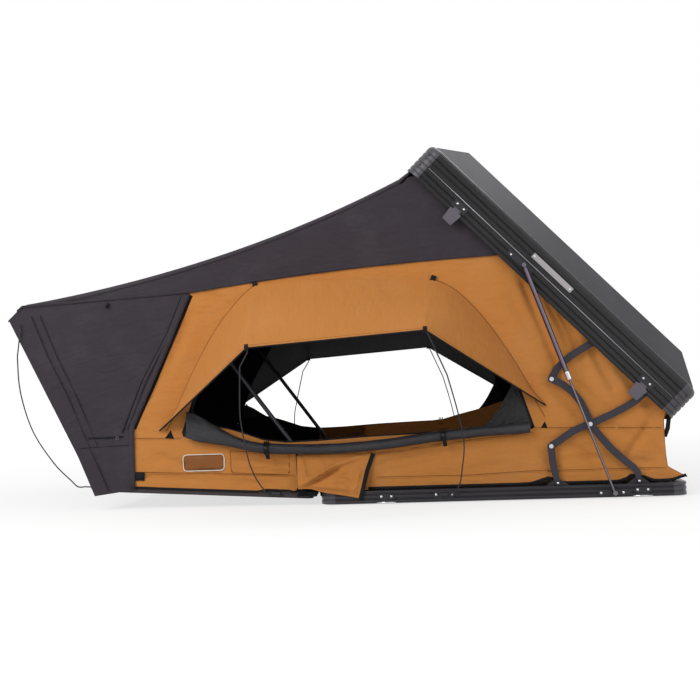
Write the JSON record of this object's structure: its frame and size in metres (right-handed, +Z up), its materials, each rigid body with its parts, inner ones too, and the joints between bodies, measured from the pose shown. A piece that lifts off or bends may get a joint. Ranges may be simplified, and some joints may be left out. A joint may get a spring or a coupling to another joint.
{
  "type": "roof top tent",
  "caption": "Hard-shell roof tent, opened: base tray with fold-out floor, tilted lid on scissor arms and gas struts, canvas walls, propped window awnings, rain fly and front canopy.",
  "frame": {"origin": "centre of the base tray's underside, where it meets the rack's bars", "axes": "X from the fold-out floor's end to the hinge-less rear, Y across the tent, Z up"},
  "size_m": [2.7782, 1.9986, 1.4293],
  "materials": {
    "ribbed_black": "satin powder coat",
    "corner_black": "moulded, fine grain",
    "floor_board": "brushed",
    "bare_aluminium": "brushed",
    "bracket_black": "satin powder coat",
    "steel": "zinc plated",
    "arm_steel": "satin grey",
    "lid_skin": "fine texture",
    "seal_rubber": "matt",
    "mattress_cloth": "woven",
    "tan_canvas": "woven canvas",
    "fly_cloth": "coated ripstop",
    "roll_mesh": "rolled mesh",
    "spring_steel": "spring wire",
    "strut_black": "gloss",
    "pole_grey": "satin"
  },
  "bodies": {
    "base": {"base_side_rails": "ribbed_black", "base_end_rails": "ribbed_black", "base_corner_caps": "corner_black", "base_floor_panel": "floor_board", "mounting_channels": "bare_aluminium", "base_link_brackets": "bracket_black", "base_catches": "bracket_black", "strut_base_brackets": "bracket_black", "base_rod_sockets": "corner_black", "bow_brackets": "bracket_black", "base_hinge_leaves": "steel", "base_mattress": "mattress_cloth", "wall_rear_near": "tan_canvas", "wall_rear_far": "tan_canvas", "back_wall": "tan_canvas", "fly_rear": "fly_cloth"},
    "long_arms": {"long_arm_near": "arm_steel", "long_arm_far": "arm_steel", "scissor_bolts": "steel"},
    "upper_links": {"upper_link_near": "arm_steel", "upper_link_far": "arm_steel"},
    "lid": {"lid_side_rails": "ribbed_black", "lid_end_rails": "ribbed_black", "lid_corner_caps": "corner_black", "lid_top": "lid_skin", "lid_seal": "seal_rubber", "lid_link_brackets": "bracket_black", "strut_lid_brackets": "bracket_black", "bare_plate": "bare_aluminium", "hasp_mounts": "bracket_black"},
    "lower_links": {"lower_links": "arm_steel"},
    "cross_arms": {"cross_arm_near": "arm_steel", "cross_arm_far": "arm_steel", "elbow_bolts": "steel"},
    "strut_tubes": {"strut_tube_near": "strut_black", "strut_tube_far": "strut_black"},
    "strut_rods": {"strut_rod_near": "steel", "strut_rod_far": "steel"},
    "floor": {"floor_frame": "bare_aluminium", "floor_panel": "floor_board", "floor_hinge_leaves": "steel", "floor_rod_sockets": "corner_black", "floor_mattress": "mattress_cloth", "wall_front_near": "tan_canvas", "wall_front_far": "tan_canvas", "canopy": "fly_cloth", "fly_front": "fly_cloth"},
    "bow": {"bow": "pole_grey"},
    "rear_awning_near": {"awning_rear_near": "tan_canvas", "window_gear_rear_near": "roll_mesh"},
    "rear_awning_far": {"awning_rear_far": "tan_canvas", "window_gear_rear_far": "roll_mesh"},
    "front_awning_near": {"awning_front_near": "tan_canvas", "window_gear_front_near": "roll_mesh"},
    "front_awning_far": {"awning_front_far": "tan_canvas", "window_gear_front_far": "roll_mesh"},
    "hasp_front_near": {"hasp_front_near": "bracket_black"},
    "hasp_rear_near": {"hasp_rear_near": "bracket_black"},
    "hasp_front_far": {"hasp_front_far": "bracket_black"},
    "hasp_rear_far": {"hasp_rear_far": "bracket_black"}
  },
  "joints": [
    {"name": "lid_close", "type": "hinge", "parent": "base", "child": "long_arms", "pos_m": [0.535, 0, 0.06], "axis": [0, -1, 0], "range_deg": [0, 40.76], "deforming": ["wall_rear_near", "wall_rear_far", "back_wall", "fly_rear", "awning_rear_near", "awning_rear_far", "window_gear_rear_near", "window_gear_rear_far"]},
    {"name": "knee", "type": "hinge", "parent": "long_arms", "child": "upper_links", "pos_m": [0.211, 0, 0.471], "axis": [0, -1, 0], "range_deg": [-81.99, 0]},
    {"name": "lid_pivot", "type": "hinge", "parent": "upper_links", "child": "lid", "pos_m": [0.44932, 0, 0.64486], "axis": [0, -1, 0], "range_deg": [0, 87.23]},
    {"name": "lower_link_pivot", "type": "hinge", "parent": "base", "child": "lower_links", "pos_m": [0.219, 0, 0.06], "axis": [0, -1, 0], "range_deg": [0, 69.9]},
    {"name": "elbow", "type": "hinge", "parent": "lower_links", "child": "cross_arms", "pos_m": [0.199, 0, 0.206], "axis": [0, -1, 0], "range_deg": [-89.84, 0]},
    {"name": "strut_pivot", "type": "hinge", "parent": "lid", "child": "strut_tubes", "pos_m": [0.11787, 0, 0.92547], "axis": [0, -1, 0], "range_deg": [0, 17.33]},
    {"name": "strut_slide", "type": "slide", "parent": "strut_tubes", "child": "strut_rods", "axis": [0.3299, 0, -0.944], "range_m": [-0.40511, 0]},
    {"name": "floor_fold", "type": "hinge", "parent": "base", "child": "floor", "pos_m": [-0.731, 0, 0.064], "axis": [0, 1, 0], "range_deg": [0, 176.6], "deforming": ["base_mattress", "floor_mattress", "wall_front_near", "wall_front_far", "canopy", "fly_front", "awning_front_near", "awning_front_far", "window_gear_front_near", "window_gear_front_far"]},
    {"name": "rear_awning_near_tuck", "type": "hinge", "parent": "base", "child": "rear_awning_near", "pos_m": [0, -0.614, 0.11], "axis": [-1, 0, 0], "range_deg": [0, 90]},
    {"name": "rear_awning_far_tuck", "type": "hinge", "parent": "base", "child": "rear_awning_far", "pos_m": [0, 0.614, 0.11], "axis": [1, 0, 0], "range_deg": [0, 90]},
    {"name": "front_awning_near_tuck", "type": "hinge", "parent": "floor", "child": "front_awning_near", "pos_m": [-1.1303, -0.606, 0.08772], "axis": [-0.9982, 0, 0.0593], "range_deg": [0, 90]},
    {"name": "front_awning_far_tuck", "type": "hinge", "parent": "floor", "child": "front_awning_far", "pos_m": [-1.1303, 0.606, 0.08772], "axis": [0.9982, 0, -0.0593], "range_deg": [0, 90]},
    {"name": "bow_fold", "type": "hinge", "parent": "base", "child": "bow", "pos_m": [-0.712, 0, 0.062], "axis": [0, 1, 0], "range_deg": [0, 125.9]},
    {"name": "hasp_front_near_swing", "type": "hinge", "parent": "lid", "child": "hasp_front_near", "pos_m": [-0.13457, -0.657, 1.15852], "axis": [-0.6947, 0, 0.7193], "range_deg": [0, 100]},
    {"name": "hasp_rear_near_swing", "type": "hinge", "parent": "lid", "child": "hasp_rear_near", "pos_m": [0.56356, -0.657, 0.43558], "axis": [-0.6947, 0, 0.7193], "range_deg": [0, 100]},
    {"name": "hasp_front_far_swing", "type": "hinge", "parent": "lid", "child": "hasp_front_far", "pos_m": [-0.13457, 0.657, 1.15852], "axis": [0.6947, 0, -0.7193], "range_deg": [0, 100]},
    {"name": "hasp_rear_far_swing", "type": "hinge", "parent": "lid", "child": "hasp_rear_far", "pos_m": [0.56356, 0.657, 0.43558], "axis": [0.6947, 0, -0.7193], "range_deg": [0, 100]}
  ],
  "couplings": [
    {"joint": "knee", "follows": "lid_close", "ratio": -2.0111},
    {"joint": "lid_pivot", "follows": "lid_close", "ratio": 2.1397},
    {"joint": "lower_link_pivot", "follows": "lid_close", "ratio": 1.7145},
    {"joint": "elbow", "follows": "lid_close", "ratio": -2.2037},
    {"joint": "strut_pivot", "follows": "lid_close", "ratio": 0.4246},
    {"joint": "strut_slide", "follows": "lid_close", "m_per_rad": -0.56878},
    {"joint": "rear_awning_near_tuck", "follows": "lid_close", "ratio": 2.208},
    {"joint": "rear_awning_far_tuck", "follows": "lid_close", "ratio": 2.208},
    {"joint": "front_awning_near_tuck", "follows": "floor_fold", "ratio": 0.5096},
    {"joint": "front_awning_far_tuck", "follows": "floor_fold", "ratio": 0.5096},
    {"joint": "bow_fold", "follows": "floor_fold", "ratio": 0.71234}
  ]
}
